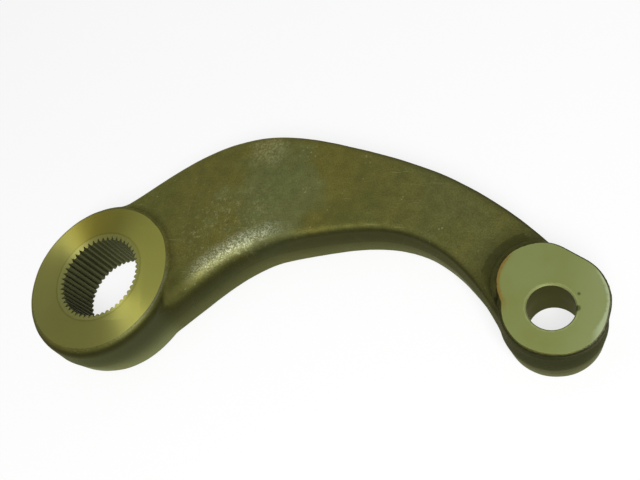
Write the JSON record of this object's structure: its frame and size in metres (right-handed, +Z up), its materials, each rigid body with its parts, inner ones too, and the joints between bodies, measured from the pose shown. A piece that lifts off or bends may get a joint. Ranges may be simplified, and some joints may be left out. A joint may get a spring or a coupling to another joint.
{
  "type": "pitman arm",
  "caption": "Bowed flat steering drop arm, forged in one piece, with a serrated eye for the steering box shaft and a tapered eye for a ball stud.",
  "frame": {"origin": "on the axis of the serrated eye, at mid height between its two machined faces", "axes": "+Z up along both eyes, +X from the serrated eye to the tapered eye, +Y to the outside of the bow"},
  "size_m": [0.2044, 0.0931, 0.0206],
  "materials": {
    "forged_steel": "shot-blasted steel forging with an olive yellow zinc passivate, machined on both eye faces"
  },
  "bodies": {
    "root": {"pitman_arm": "forged_steel"}
  },
  "joints": []
}
